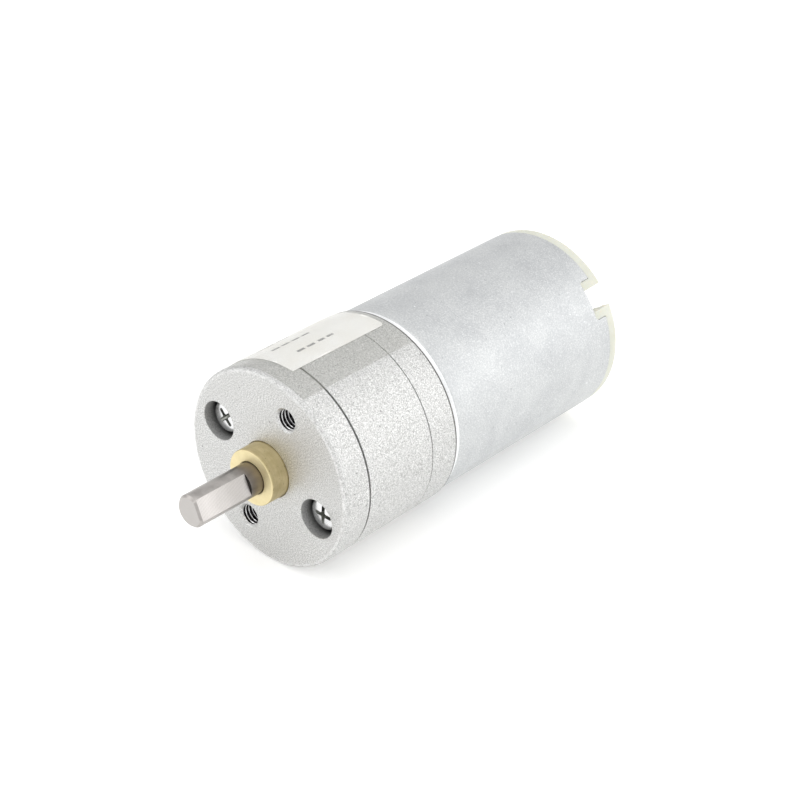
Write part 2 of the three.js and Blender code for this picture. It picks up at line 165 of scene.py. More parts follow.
def scratch(bm, name="scratch"):
    """A temporary object in millimetres, for booleans."""
    bmesh.ops.remove_doubles(bm, verts=bm.verts, dist=1e-5)
    bmesh.ops.recalc_face_normals(bm, faces=bm.faces)
    me = bpy.data.meshes.new(name)
    bm.to_mesh(me)
    bm.free()
    o = bpy.data.objects.new(name, me)
    bpy.context.scene.collection.objects.link(o)
    return o


def carve(obj, cutters, operation="DIFFERENCE"):
    for c in cutters:
        m = obj.modifiers.new("carve", "BOOLEAN")
        m.operation, m.solver, m.object = operation, "EXACT", c
    bpy.context.view_layer.update()
    me = bpy.data.meshes.new_from_object(
        obj.evaluated_get(bpy.context.evaluated_depsgraph_get())
    )
    for o in [obj, *cutters]:
        bpy.data.objects.remove(o)
    bm = bmesh.new()
    bm.from_mesh(me)
    bpy.data.meshes.remove(me)
    bmesh.ops.remove_doubles(bm, verts=bm.verts, dist=1e-4)
    bmesh.ops.dissolve_degenerate(bm, edges=bm.edges, dist=1e-4)
    return bm


def make(name, bm, body, nodes, material, sharp=32, bevel=None, extra=()):
    """Turns a mesh in millimetres into a piece that rides on a body and stands for CAD nodes."""
    bmesh.ops.remove_doubles(bm, verts=bm.verts, dist=1e-5)
    bmesh.ops.recalc_face_normals(bm, faces=bm.faces)
    bmesh.ops.scale(bm, vec=(0.001, 0.001, 0.001), verts=bm.verts)
    for f in bm.faces:
        f.smooth = True
    for e in bm.edges:
        e.smooth = not (
            len(e.link_faces) == 2 and e.calc_face_angle(0.0) > rad(sharp)
        )
    me = bpy.data.meshes.new(name)
    bm.to_mesh(me)
    bm.free()
    o = bpy.data.objects.new(name, me)
    bpy.context.scene.collection.objects.link(o)
    for one in (material, *extra):
        me.materials.append(one)
    if bevel:
        b = o.modifiers.new("edges", "BEVEL")
        b.width, b.segments, b.limit_method, b.angle_limit = (
            bevel * 0.001,
            2,
            "ANGLE",
            rad(40),
        )
        b.harden_normals = False
    w = o.modifiers.new("normals", "WEIGHTED_NORMAL")
    w.mode, w.weight, w.keep_sharp = "FACE_AREA", 60, True
    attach(o, body)
    if nodes:
        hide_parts(*nodes)
    return o


# ------------------------------------------------------------------ materials
class Mat:
    """A small wrapper for building a node material, with coordinates in millimetres."""

    def __init__(self, name, **sockets):
        self.m = bpy.data.materials.new(name)
        self.m.use_nodes = True
        self.nt = self.m.node_tree
        self.nt.nodes.clear()
        self.out = self.nt.nodes.new("ShaderNodeOutputMaterial")
        self.bsdf = self.nt.nodes.new("ShaderNodeBsdfPrincipled")
        self.nt.links.new(self.bsdf.outputs[0], self.out.inputs[0])
        for k, v in sockets.items():
            self.bsdf.inputs[k.replace("_", " ")].default_value = v
        tc = self.nt.nodes.new("ShaderNodeTexCoord")
        mp = self.nt.nodes.new("ShaderNodeMapping")
        mp.inputs["Scale"].default_value = (1000, 1000, 1000)
        self.nt.links.new(tc.outputs["Object"], mp.inputs["Vector"])
        self.mm = mp.outputs[0]

    def node(self, kind, inputs=None, **props):
        n = self.nt.nodes.new(kind)
        for k, v in props.items():
            setattr(n, k, v)
        for k, v in (inputs or {}).items():
            if isinstance(v, bpy.types.NodeSocket):
                self.nt.links.new(v, n.inputs[k])
            else:
                n.inputs[k].default_value = v
        return n

    def scaled(self, x, y, z, vector=None):
        return self.node(
            "ShaderNodeMapping", {"Vector": vector or self.mm, "Scale": (x, y, z)}
        ).outputs[0]

    def noise(self, scale, detail=3, rough=0.5, vector=None, distortion=0.0):
        return self.node(
            "ShaderNodeTexNoise",
            {
                "Vector": vector or self.mm,
                "Scale": scale,
                "Detail": detail,
                "Roughness": rough,
                "Distortion": distortion,
            },
        ).outputs[0]

    def ramp(self, fac, *stops, mode="LINEAR"):
        n = self.node("ShaderNodeValToRGB", {"Fac": fac})
        n.color_ramp.interpolation = mode
        el = n.color_ramp.elements
        while len(el) > len(stops):
            el.remove(el[-1])
        while len(el) < len(stops):
            el.new(1.0)
        for e, (p, c) in zip(el, stops):
            e.position = p
            e.color = (c, c, c, 1) if isinstance(c, (int, float)) else (*c, 1)
        return n.outputs[0]

    def mix(self, fac, a, b, blend="MIX"):
        n = self.node(
            "ShaderNodeMix", {"Factor": fac}, data_type="RGBA", blend_type=blend
        )
        for i, v in ((6, a), (7, b)):
            if isinstance(v, bpy.types.NodeSocket):
                self.nt.links.new(v, n.inputs[i])
            else:
                n.inputs[i].default_value = (*v, 1) if len(v) == 3 else v
        return n.outputs[2]

    def math(self, op, a, b=0.0, c=0.0, clamp=False):
        n = self.nt.nodes.new("ShaderNodeMath")
        n.operation, n.use_clamp = op, clamp
        for i, v in enumerate((a, b, c)):
            if isinstance(v, bpy.types.NodeSocket):
                self.nt.links.new(v, n.inputs[i])
            else:
                n.inputs[i].default_value = v
        return n.outputs[0]

    def bump(self, height, distance_mm, normal=None, strength=1.0):
        inputs = {
            "Height": height,
            "Distance": distance_mm * 0.001,
            "Strength": strength,
        }
        if normal is not None:
            inputs["Normal"] = normal
        return self.node("ShaderNodeBump", inputs).outputs[0]

    def to(self, **sockets):
        for k, v in sockets.items():
            self.nt.links.new(v, self.bsdf.inputs[k.replace("_", " ")])
        return self


def cast_zinc(name="cast zinc", shade=1.0, metallic=0.92):
    m = Mat(name, Metallic=metallic, Specular_IOR_Level=0.5)
    grain = m.noise(6.2, 4, 0.7)
    fine = m.noise(12, 2, 0.5)
    clouds = m.noise(0.16, 3, 0.5)
    specks = m.noise(6.4, 2, 0.55)
    pits = m.noise(1.9, 2, 0.4)

    def grey(v, warm=0.985):
        return (v * shade, v * shade, v * shade * warm)

    base = m.ramp(grain, (0.35, grey(0.31)), (0.5, grey(0.60)), (0.67, grey(0.88)))
    base = m.mix(m.ramp(clouds, (0.35, 0.0), (0.7, 0.30)), base, grey(0.52))
    base = m.mix(m.ramp(specks, (0.62, 0.0), (0.70, 0.8)), base, grey(0.98, 1.0))
    base = m.mix(m.ramp(pits, (0.745, 0.0), (0.765, 0.8)), base, grey(0.22))
    # painted shade: the front face is painted a little darker than the sides
    ahead = m.node(
        "ShaderNodeVectorMath",
        {0: m.node("ShaderNodeTexCoord").outputs["Normal"], 1: (0.0, -1.0, 0.0)},
        operation="DOT_PRODUCT",
    ).outputs["Value"]
    base = m.mix(m.math("GREATER_THAN", ahead, 0.9), base, (0.99, 0.99, 0.99), "MULTIPLY")
    rough = m.ramp(fine, (0.3, 0.36), (0.7, 0.48))
    h = m.math("ADD", m.math("MULTIPLY", grain, 0.7), m.math("MULTIPLY", fine, 0.3))
    n = m.bump(h, 0.08)
    n = m.bump(m.ramp(pits, (0.71, 1.0), (0.765, 0.0)), 0.03, n)
    return m.to(Base_Color=base, Roughness=rough, Normal=n).m


def painted_edge_highlight():
    """Zinc for the front edge's rounding, with painted highlight: bright broken lines along both edges of the
    rim.
    """
    m = Mat("zinc edge with painted highlight", Metallic=0.85)
    grain = m.noise(6.2, 4, 0.7)
    y = m.node("ShaderNodeSeparateXYZ", {0: m.mm}).outputs[1]
    base = m.ramp(grain, (0.35, (0.34, 0.34, 0.335)), (0.5, (0.56, 0.56, 0.553)), (0.67, (0.80, 0.80, 0.79)))
    lines = None
    for at, half, seed in ((0.02, 0.05, (1.0, 1.0, 1.0)), (0.44, 0.04, (0.7, 1.3, 0.9))):
        near = m.math("LESS_THAN", m.math("ABSOLUTE", m.math("SUBTRACT", y, at)), half)
        broken = m.ramp(m.noise(1.1, 4, 0.7, vector=m.scaled(*seed)), (0.38, 0.0), (0.62, 0.5))
        one = m.math("MULTIPLY", near, broken)
        lines = one if lines is None else m.math("MAXIMUM", lines, one)
    # painted highlight: the bright broken lines stand in for light along the rounding's edges
    base = m.mix(lines, base, (0.90, 0.90, 0.895))
    dents = m.noise(1.3, 3, 0.55)
    base = m.mix(m.ramp(dents, (0.66, 0.0), (0.72, 0.45)), base, (0.36, 0.36, 0.355))
    return m.to(Base_Color=base, Roughness=m.ramp(grain, (0.3, 0.34), (0.7, 0.46)), Normal=m.bump(grain, 0.06)).m


def can_steel():
    m = Mat("can steel", Metallic=0.8)
    clouds = m.noise(0.22, 5, 0.6)
    mottled = m.noise(1.1, 4, 0.6, distortion=0.6)
    drawn = m.noise(1.0, 3, 0.6, vector=m.scaled(3.2, 0.5, 3.2))
    grain = m.noise(5.5, 3, 0.6)
    marks = m.noise(1.5, 2, 0.4, vector=m.scaled(1.0, 1.0, 1.9))
    nicks = m.noise(1.7, 2, 0.45, vector=m.scaled(1.0, 2.0, 1.0))
    base = m.ramp(
        clouds, (0.28, (0.48, 0.49, 0.50)), (0.5, (0.545, 0.555, 0.56)), (0.72, (0.60, 0.61, 0.61))
    )
    base = m.mix(m.ramp(mottled, (0.35, 0.0), (0.7, 0.25)), base, (0.65, 0.66, 0.665))
    base = m.mix(m.ramp(grain, (0.34, 0.55), (0.52, 0.0)), base, (0.48, 0.50, 0.51))
    base = m.mix(m.ramp(grain, (0.50, 0.0), (0.68, 0.5)), base, (0.82, 0.83, 0.83))
    base = m.mix(m.ramp(marks, (0.755, 0.0), (0.78, 0.6)), base, (0.90, 0.91, 0.92))
    base = m.mix(m.ramp(nicks, (0.735, 0.0), (0.76, 0.75)), base, (0.27, 0.28, 0.29))
    rough = m.ramp(mottled, (0.3, 0.46), (0.7, 0.58))
    h = m.math("ADD", m.math("MULTIPLY", grain, 0.6), m.math("MULTIPLY", drawn, 0.4))
    n = m.bump(h, 0.05)
    n = m.bump(mottled, 0.02, n)
    return m.to(Base_Color=base, Roughness=rough, Normal=n).m


def turned_metal(name, dark, light, rough, lines=14.0, depth=0.004, metallic=1.0):
    """Turned or ground metal: fine rings about the axis, with soft stains."""
    m = Mat(name, Metallic=metallic)
    rings = m.noise(1.0, 3, 0.6, vector=m.scaled(0.12, lines, 0.12))
    stains = m.noise(0.9, 4, 0.6)
    base = m.mix(m.ramp(stains, (0.3, 0.0), (0.7, 1.0)), dark, light)
    base = m.mix(
        m.ramp(rings, (0.35, 0.25), (0.6, 0.0)), base, tuple(c * 0.8 for c in dark)
    )
    r = m.ramp(stains, (0.3, rough[0]), (0.7, rough[1]))
    return m.to(Base_Color=base, Roughness=r, Normal=m.bump(rings, depth)).m


def brass():
    """Turned brass; the face looking forward is painted bright and the side darker, as lit and shaded copies of
    one brass.
    """
    m = Mat("brass", Metallic=0.8)
    ahead = m.node(
        "ShaderNodeVectorMath",
        {0: m.node("ShaderNodeTexCoord").outputs["Normal"], 1: (0.0, -1.0, 0.0)},
        operation="DOT_PRODUCT",
    ).outputs["Value"]
    rings = m.noise(1.0, 3, 0.6, vector=m.scaled(0.12, 14.0, 0.12))
    stains = m.noise(0.9, 4, 0.6)
    dots = m.noise(3.2, 2, 0.5)
    side = m.mix(m.ramp(stains, (0.3, 0.0), (0.7, 1.0)), (0.50, 0.41, 0.21), (0.66, 0.56, 0.33))
    side = m.mix(m.ramp(rings, (0.35, 0.35), (0.6, 0.0)), side, (0.38, 0.31, 0.16))
    side = m.mix(m.ramp(dots, (0.70, 0.0), (0.74, 0.7)), side, (0.16, 0.12, 0.06))
    face = m.mix(m.ramp(stains, (0.3, 0.0), (0.7, 1.0)), (0.74, 0.635, 0.36), (0.85, 0.75, 0.475))
    # painted light: the forward face gets the bright copy, the side the shaded one
    base = m.mix(m.math("GREATER_THAN", ahead, 0.8), side, face)
    r = m.ramp(stains, (0.3, 0.42), (0.7, 0.56))
    return m.to(Base_Color=base, Roughness=r, Normal=m.bump(rings, 0.004)).m


def shaft_steel():
    """Ground round steel, with the cross lines that a cutter left on the flat."""
    m = Mat("shaft steel", Metallic=1.0)
    c, s = math.cos(rad(A_FLAT)), math.sin(rad(A_FLAT))
    normal = m.node("ShaderNodeTexCoord").outputs["Normal"]

    def facing(direction, least):
        dot = m.node(
            "ShaderNodeVectorMath", {0: normal, 1: direction}, operation="DOT_PRODUCT"
        ).outputs["Value"]
        return m.math("GREATER_THAN", dot, least)

    ahead = facing((0.0, -1.0, 0.0), 0.7)
    y = m.node("ShaderNodeSeparateXYZ", {0: m.mm}).outputs[1]
    flat = m.math("MULTIPLY", facing((c, 0.0, s), 0.985), m.math("LESS_THAN", y, -4.3))
    step = m.math("MULTIPLY", ahead, m.math("GREATER_THAN", y, -6.0))
    end = m.math("MULTIPLY", ahead, m.math("LESS_THAN", y, -11.0))
    cuts = m.node(
        "ShaderNodeTexWave",
        {
            "Vector": m.mm,
            "Scale": 1.75,
            "Distortion": 1.6,
            "Detail": 2.0,
            "Detail Scale": 2.0,
        },
        wave_type="BANDS",
        bands_direction="Y",
    ).outputs[1]
    rings = m.noise(1.0, 3, 0.6, vector=m.scaled(0.15, 12, 0.15))
    stains = m.noise(0.8, 4, 0.6)
    base = m.mix(
        m.ramp(stains, (0.3, 0.0), (0.7, 1.0)), (0.36, 0.34, 0.325), (0.50, 0.475, 0.455)
    )
    face = m.mix(m.ramp(cuts, (0.2, 0.0), (0.9, 1.0)), (0.53, 0.505, 0.485), (0.69, 0.66, 0.64))
    # painted shade: the round darkens to brown from the flat's end towards the bush
    base = m.mix(m.ramp(m.math("ADD", m.math("MULTIPLY", y, 0.25), 1.6), (0.2, 0.0), (0.6, 0.8)), base, (0.17, 0.145, 0.125))
    base = m.mix(flat, base, face)
    base = m.mix(end, base, (0.47, 0.45, 0.435))
    # painted shade: the forward-facing step where the flat ends is painted nearly black
    base = m.mix(step, base, (0.035, 0.032, 0.03))
    h = m.math(
        "ADD",
        m.math("MULTIPLY", cuts, m.math("MULTIPLY", flat, 0.8)),
        m.math("MULTIPLY", rings, 0.5),
    )
    r = m.ramp(stains, (0.3, 0.30), (0.7, 0.40))
    return m.to(Base_Color=base, Roughness=r, Normal=m.bump(h, 0.006)).m


def cap_plastic():
    m = Mat("cap plastic", IOR=1.5)
    m.bsdf.inputs["Subsurface Weight"].default_value = 0.25
    m.bsdf.inputs["Subsurface Radius"].default_value = (0.0012, 0.001, 0.0007)
    m.bsdf.inputs["Subsurface Scale"].default_value = 1.0
    flow = m.noise(0.35, 3, 0.5)
    fine = m.noise(6, 3, 0.55)
    base = m.mix(m.ramp(flow, (0.3, 0.0), (0.7, 1.0)), (0.56, 0.565, 0.475), (0.63, 0.635, 0.565))
    rough = m.ramp(fine, (0.3, 0.38), (0.7, 0.52))
    return m.to(Base_Color=base, Roughness=rough, Normal=m.bump(fine, 0.01)).m


def paper():
    m = Mat("paper", IOR=1.45)
    fibres = m.noise(3.5, 4, 0.65, vector=m.scaled(1, 0.5, 1))
    blot = m.noise(0.3, 3, 0.5)
    # plain printed dashes, drawn from the position on the label
    sep = m.node("ShaderNodeSeparateXYZ", {0: m.mm})
    angle = m.math("MULTIPLY", m.math("ARCTAN2", sep.outputs[2], sep.outputs[0]), 12.6)
    y = sep.outputs[1]

    def window(v, lo, hi):
        return m.math(
            "MULTIPLY", m.math("GREATER_THAN", v, lo), m.math("LESS_THAN", v, hi)
        )

    def patch(a0, a1, y0, y1):
        return m.math("MULTIPLY", window(angle, a0, a1), window(y, y0, y1))

    s0 = 12.6 * rad(81.5)
    ink = None
    for a0, y0, y1 in (
        (2.5, 6.3, 7.5), (2.5, 7.9, 9.1), (2.5, 9.7, 10.7), (2.5, 11.1, 12.1),
        (5.6, 5.2, 6.4), (5.6, 6.8, 8.0), (5.6, 8.4, 9.6), (5.6, 10.0, 11.2),
        (8.4, 5.2, 8.0), (8.4, 8.4, 10.4),
    ):
        one = patch(s0 + a0, s0 + a0 + 0.42, y0, y1)
        ink = one if ink is None else m.math("MAXIMUM", ink, one)
    worn = m.ramp(fibres, (0.36, 0.55), (0.5, 0.9))
    base = m.mix(m.ramp(blot, (0.3, 0.0), (0.7, 1.0)), (0.88, 0.865, 0.83), (0.93, 0.93, 0.92))
    base = m.mix(m.ramp(fibres, (0.3, 0.25), (0.6, 0.0)), base, (0.80, 0.785, 0.74))
    base = m.mix(m.math("MULTIPLY", ink, worn), base, (0.16, 0.16, 0.17))
    return m.to(Base_Color=base, Normal=m.bump(fibres, 0.012)).m


def tape():
    m = Mat("clear tape", Roughness=0.14, IOR=1.48, Alpha=0.14)
    ripple = m.noise(0.55, 3, 0.5, vector=m.scaled(1, 0.45, 1))
    dust = m.noise(4.5, 3, 0.6)
    base = m.mix(m.ramp(dust, (0.45, 0.0), (0.75, 0.6)), (0.45, 0.45, 0.41), (0.72, 0.72, 0.67))
    return m.to(Base_Color=base, Normal=m.bump(ripple, 0.12)).m


def gear_material(name, dark, light, metallic=1.0, rough=(0.28, 0.42)):
    m = Mat(name, Metallic=metallic)
    grease = m.noise(0.8, 4, 0.6)
    cut = m.noise(6, 3, 0.6, vector=m.scaled(1, 0.3, 1))
    base = m.mix(m.ramp(grease, (0.3, 0.0), (0.7, 1.0)), dark, light)
    return m.to(
        Base_Color=base,
        Roughness=m.ramp(grease, (0.3, rough[0]), (0.7, rough[1])),
        Normal=m.bump(cut, 0.008),
    ).m


def copper():
    m = Mat("copper", Metallic=1.0)
    m.bsdf.inputs["Coat Weight"].default_value = 0.3
    m.bsdf.inputs["Coat Roughness"].default_value = 0.15
    wires = m.node(
        "ShaderNodeTexWave",
        {"Vector": m.mm, "Scale": 1.0, "Distortion": 0.4, "Detail": 1.0},
        wave_type="RINGS",
        rings_direction="SPHERICAL",
    ).outputs[1]
    shade = m.noise(1.4, 3, 0.5)
    base = m.mix(m.ramp(shade, (0.3, 0.0), (0.7, 1.0)), (0.55, 0.22, 0.10), (0.78, 0.38, 0.19))
    base = m.mix(m.ramp(wires, (0.0, 0.6), (0.45, 0.0)), base, (0.25, 0.09, 0.04))
    return m.to(Base_Color=base, Roughness=m.ramp(shade, (0.3, 0.25), (0.7, 0.38)), Normal=m.bump(wires, 0.08)).m


def laminated():
    m = Mat("lamination", Metallic=0.95)
    layers = m.node(
        "ShaderNodeTexWave",
        {"Vector": m.mm, "Scale": 0.63, "Distortion": 0.1, "Detail": 0.0},
        wave_type="BANDS",
        bands_direction="Y",
        wave_profile="SAW",
    ).outputs[1]
    shade = m.noise(1.0, 4, 0.6)
    base = m.mix(m.ramp(shade, (0.3, 0.0), (0.7, 1.0)), (0.33, 0.34, 0.36), (0.48, 0.49, 0.51))
    base = m.mix(m.ramp(layers, (0.0, 0.8), (0.2, 0.0)), base, (0.12, 0.12, 0.13))
    return m.to(Base_Color=base, Roughness=m.ramp(shade, (0.3, 0.4), (0.7, 0.55)), Normal=m.bump(layers, 0.03)).m


def grainy(name, dark, light, rough, scale=4.0, depth=0.015, metallic=0.0):
    m = Mat(name, Metallic=metallic)
    a = m.noise(scale, 4, 0.6)
    b = m.noise(scale * 0.15, 3, 0.5)
    base = m.mix(m.ramp(b, (0.3, 0.0), (0.7, 1.0)), dark, light)
    base = m.mix(m.ramp(a, (0.35, 0.4), (0.6, 0.0)), base, tuple(c * 0.7 for c in dark))
    return m.to(Base_Color=base, Roughness=m.ramp(a, (0.3, rough[0]), (0.7, rough[1])), Normal=m.bump(a, depth)).m


def tapped():
    """A cut thread with painted shade: the crests shine, the roots between them are painted black as shadow, and
    the crests are painted darker deeper in the hole.
    """
    m = Mat("tapped thread", Metallic=1.0)
    sep = m.node("ShaderNodeSeparateXYZ", {0: m.mm})
    x, z = centre_at(8.5, A_TAPPED)
    near = None
    for k in (1, -1):
        d = m.math(
            "SQRT",
            m.math(
                "ADD",
                m.math("POWER", m.math("ABSOLUTE", m.math("SUBTRACT", sep.outputs[0], k * x)), 2.0),
                m.math("POWER", m.math("ABSOLUTE", m.math("SUBTRACT", sep.outputs[2], k * z)), 2.0),
            ),
        )
        near = d if near is None else m.math("MINIMUM", near, d)
    root = m.node("ShaderNodeMapRange", {0: near, 1: 1.27, 2: 1.345}).outputs[0]
    shade_with_depth = m.node("ShaderNodeMapRange", {0: sep.outputs[1], 1: 0.4, 2: 2.8}).outputs[0]
    crest = m.mix(shade_with_depth, (0.93, 0.93, 0.93), (0.30, 0.30, 0.31))
    base = m.mix(root, crest, (0.02, 0.02, 0.021))
    return m.to(Base_Color=base, Roughness=m.ramp(m.noise(5, 2), (0.3, 0.2), (0.7, 0.34))).m


def recess():
    """The cast wall of a counterbore, with painted shade: painted dark, and darker to black towards its floor."""
    m = Mat("cast zinc recess with painted shade", Metallic=0.3, Specular_IOR_Level=0.4)
    grain = m.noise(5.2, 4, 0.66)
    y = m.node("ShaderNodeSeparateXYZ", {0: m.mm}).outputs[1]
    shade_with_depth = m.node("ShaderNodeMapRange", {0: y, 1: 0.15, 2: 1.9}).outputs[0]
    wall = m.ramp(grain, (0.3, (0.26, 0.26, 0.255)), (0.72, (0.50, 0.50, 0.495)))
    base = m.mix(m.ramp(shade_with_depth, (0.0, 0.0), (0.45, 0.35), (1.0, 0.97)), wall, (0.006, 0.006, 0.006))
    return m.to(Base_Color=base, Roughness=m.ramp(grain, (0.3, 0.45), (0.7, 0.65)), Normal=m.bump(grain, 0.05)).m


ZINC = cast_zinc()
EDGE_HIGHLIGHT = painted_edge_highlight()
# painted highlight: a near-white band on part of the can shoulder's rounding
CAN_EDGE_HIGHLIGHT = grainy("worn can edge", (0.86, 0.87, 0.88), (0.96, 0.965, 0.97), (0.35, 0.5), 5.0, 0.01, 0.5)
# painted shadow: near black for the line where the rear plate meets the can
JOINT_SHADOW = grainy("painted shadow in the joint", (0.035, 0.033, 0.03), (0.10, 0.095, 0.09), (0.5, 0.7))
RECESS_SHADE = recess()
CAN = can_steel()
SHAFT = shaft_steel()
BRASS = brass()
THREAD_SHADE = tapped()
# painted shade: the screws' cross recesses are painted darker than the plated head
SOCKET_SHADE = grainy("screw recess", (0.22, 0.225, 0.21), (0.46, 0.47, 0.44), (0.30, 0.45), 4.0, 0.03, 0.9)
PLATED = turned_metal("zinc plate", (0.70, 0.71, 0.72), (0.88, 0.88, 0.88), (0.14, 0.26), lines=5.0)
PINS = turned_metal("ground steel", (0.55, 0.55, 0.56), (0.72, 0.72, 0.72), (0.18, 0.30))
GEAR = gear_material("gear steel", (0.36, 0.36, 0.38), (0.55, 0.55, 0.56))
GEAR_BRASS = gear_material("gear brass", (0.60, 0.43, 0.16), (0.78, 0.60, 0.28))
BRONZE = grainy("sintered bronze", (0.40, 0.27, 0.14), (0.58, 0.42, 0.25), (0.40, 0.60), 7.0, 0.02, 0.9)
FERRITE = grainy("ferrite", (0.035, 0.035, 0.038), (0.075, 0.075, 0.08), (0.55, 0.75))
CARBON = grainy("carbon", (0.012, 0.012, 0.012), (0.035, 0.035, 0.035), (0.5, 0.7), 6.0, 0.02)
PLASTIC = cap_plastic()
COPPER = copper()
LAMINATED = laminated()
PAPER = paper()
TAPE = tape()

# ------------------------------------------------------------------ gearbox shells
SIDES = 192


def thread(bm, centre, mouth_ring, depth, r_minor=1.25, r_major=1.5, pitch=0.5, n=48):
    """An M3 internal thread below mouth_ring: rows of a helical wall, then a drill point."""
    rows_per_pitch = 10
    rows = int(depth / pitch * rows_per_pitch)
    previous = mouth_ring
    for k in range(1, rows + 1):
        y = 0.28 + depth * k / rows
        pts = []
        for i in range(n):
            phase = (y / pitch + i / n) % 1.0
            # a 60 degree vee with a narrow crest and a rounded root
            h = min(1.0, max(0.0, 1.45 * (1 - abs(2 * phase - 1) * 1.08)))
            fade = min(1.0, k / 4, (rows - k) / 6)
            r = r_minor + (r_major - r_minor) * (h * fade)
            pts.append(
                (
                    centre[0] + r * math.cos(rad(360 * i / n)),
                    y,
                    centre[1] + r * math.sin(rad(360 * i / n)),
                )
            )
        this = ring(bm, pts)
        bridge(bm, previous, this, finish=2)
        previous = this
    tip = bm.verts.new((centre[0], 0.28 + depth + 0.6, centre[1]))
    for i in range(n):
        bm.faces.new((previous[i], previous[(i + 1) % n], tip)).material_index = 2


def holes(bm, y, specs, n=48):
    """Circles at a level: specs are (centre, radius)."""
    return [circle(bm, r, y, n, c) for c, r in specs]


def front_cover():
    bm = bmesh.new()
    # outer wall, from the face's edge round to the spigot
    side = soften(
        [
            (11.98, 0.0),
            (12.5, 0.0, 0.48),
            (12.5, 0.66),
            (12.5, 3.91, 0.05),
            (12.0, 3.91),
            (12.0, 4.0),
            (10.95, 4.0),
            (10.95, 4.9),
        ],
        closed=False,
        steps=8,
    )
    rings = [circle(bm, r, y, SIDES) for r, y in side]
    # the first ten bands, round the face's edge, take the zinc with painted highlight (material 3)
    for k, (a, b) in enumerate(zip(rings, rings[1:])):
        bridge(bm, a, b, finish=3 if k < 10 else 0)
    front, back = rings[0], rings[-1]
    bush0, bush1 = circle(bm, 3.56, 0.05, 96), circle(bm, 3.54, 4.9, 96)
    mouth = circle(bm, 3.62, 0.0, 96)
    bridge(bm, mouth, bush0)
    bridge(bm, bush0, bush1)
    top, bottom = [mouth], [bush1]
    for s in (0, 180):
        c = centre_at(8.5, A_SCREW + s)
        levels = [(2.53, 0.0), (2.49, 0.02), (2.46, 0.07), (2.45, 0.14), (2.44, 2.38), (2.36, 2.47), (1.15, 2.47), (1.15, 4.9)]
        rs = [circle(bm, r, y, 72, c) for r, y in levels]
        # counterbore walls below the mouth take the recess material with painted shade
        for k, (a, b) in enumerate(zip(rs, rs[1:])):
            bridge(bm, a, b, finish=1 if k > 1 else 0)
        top.append(rs[0])
        bottom.append(rs[-1])
        c = centre_at(8.5, A_TAPPED + s)
        m0, m1, m2 = (
            circle(bm, 1.56, 0.0, 48, c),
            circle(bm, 1.50, 0.05, 48, c),
            circle(bm, 1.27, 0.28, 48, c),
        )
        bridge(bm, m0, m1)
        bridge(bm, m1, m2)
        thread(bm, c, m2, 3.1)
        top.append(m0)
    fill(bm, front, *top)
    fill(bm, back, *bottom)
    return make("front_cover", bm, "gearmotor", ["front_cover"], ZINC, sharp=38, extra=(RECESS_SHADE, THREAD_SHADE, EDGE_HIGHLIGHT))


def pocket_points(y, grow=0.0):
    pts = []
    for s in (0, 180):
        c = centre_at(6.0, A_TAPPED + s)
        for i in range(25):
            a = A_TAPPED + s - 90 + 180 * i / 24
            pts.append(
                (c[0] + (4.85 + grow) * math.cos(rad(a)), y, c[1] + (4.85 + grow) * math.sin(rad(a)))
            )
    return pts


def gear_housing():
    bm = bmesh.new()
    side = soften(
        [
            (11.01, 4.06),
            (12.0, 4.06),
            (12.0, 4.16),
            (12.5, 4.16, 0.05),
            (12.5, 14.62, 0.07),
            (12.3, 14.62),
            (12.3, 14.66),
            (11.01, 14.66),
        ],
        closed=False,
        steps=6,
    )
    rings = [circle(bm, r, y, SIDES) for r, y in side]
    f0 = circle(bm, 11.01, 5.04, SIDES)
    b0 = circle(bm, 11.01, 13.66, SIDES)
    rings = [f0, *rings, b0]
    for a, b in zip(rings, rings[1:]):
        bridge(bm, a, b)
    p0, p1 = ring(bm, pocket_points(5.04)), ring(bm, pocket_points(13.66))
    bridge(bm, p0, p1)
    front, back = [f0, p0], [b0, p1]
    for s in (0, 180):
        c = centre_at(8.5, A_SCREW + s)
        h0, h1 = circle(bm, 1.15, 5.04, 32, c), circle(bm, 1.15, 13.66, 32, c)
        bridge(bm, h0, h1)
        front.append(h0)
        back.append(h1)
    fill(bm, *front)
    fill(bm, *back)
    return make("gear_housing", bm, "gearmotor", ["gear_housing"], ZINC, sharp=38)


